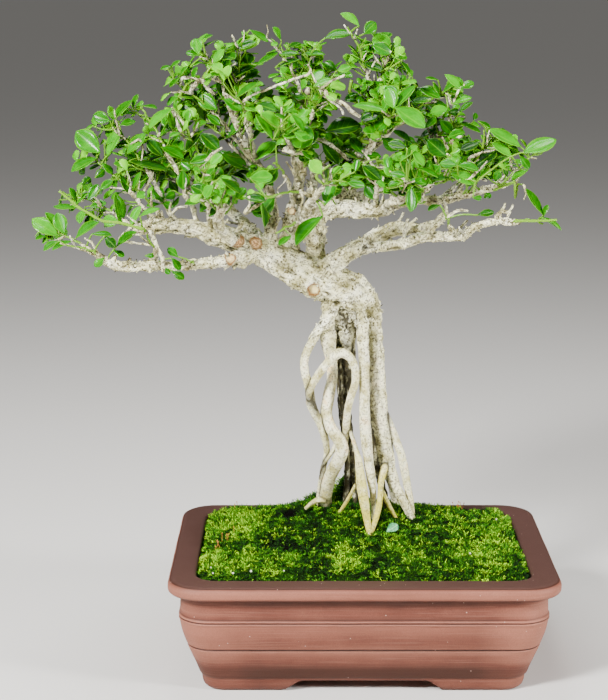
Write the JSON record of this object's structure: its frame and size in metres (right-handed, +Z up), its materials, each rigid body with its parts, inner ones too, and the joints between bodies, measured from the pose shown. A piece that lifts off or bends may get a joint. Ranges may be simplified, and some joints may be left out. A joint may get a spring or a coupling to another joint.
{
  "type": "potted bonsai tree",
  "caption": "Premna bonsai on tall exposed roots, with a wide crown of small glossy leaves, growing through moss in a rectangular unglazed clay pot with corner feet.",
  "frame": {"origin": "middle of the whole plant's bounding box, on the ground under the pot's feet", "axes": "+X to the right of the pot's front, +Y to its back, +Z up"},
  "size_m": [0.4195, 0.2757, 0.5232],
  "materials": {
    "unglazed_clay": "matte",
    "black_plastic": "matte",
    "soil": "matte",
    "moss": "matte",
    "bark": "matte",
    "leaf": "satin",
    "shed_leaf": "satin"
  },
  "bodies": {
    "root": {"pot": "unglazed_clay", "drainage_screen_left": "black_plastic", "drainage_screen_right": "black_plastic", "soil": "soil", "moss": "moss", "trunk_roots_and_branches": "bark", "fallen_leaf": "shed_leaf", "spray_01": "leaf", "spray_02": "leaf", "spray_03": "leaf", "spray_04": "leaf", "spray_05": "leaf", "spray_06": "leaf", "spray_07": "leaf", "spray_08": "leaf", "spray_09": "leaf", "spray_10": "leaf", "spray_11": "leaf", "spray_12": "leaf", "spray_13": "leaf", "spray_14": "leaf", "spray_15": "leaf", "spray_16": "leaf", "spray_17": "leaf", "spray_18": "leaf", "spray_19": "leaf", "spray_20": "leaf", "spray_21": "leaf", "spray_22": "leaf", "spray_23": "leaf", "spray_24": "leaf", "spray_25": "leaf", "spray_26": "leaf", "spray_27": "leaf", "spray_28": "leaf", "spray_29": "leaf", "spray_30": "leaf", "spray_31": "leaf", "spray_32": "leaf", "spray_33": "leaf", "spray_34": "leaf", "spray_35": "leaf", "spray_36": "leaf", "spray_37": "leaf", "spray_38": "leaf", "spray_39": "leaf", "spray_40": "leaf", "spray_41": "leaf", "spray_42": "leaf", "spray_43": "leaf", "spray_44": "leaf", "spray_45": "leaf", "spray_46": "leaf", "spray_47": "leaf", "spray_48": "leaf", "spray_49": "leaf", "spray_50": "leaf", "spray_51": "leaf", "spray_52": "leaf"}
  },
  "joints": []
}
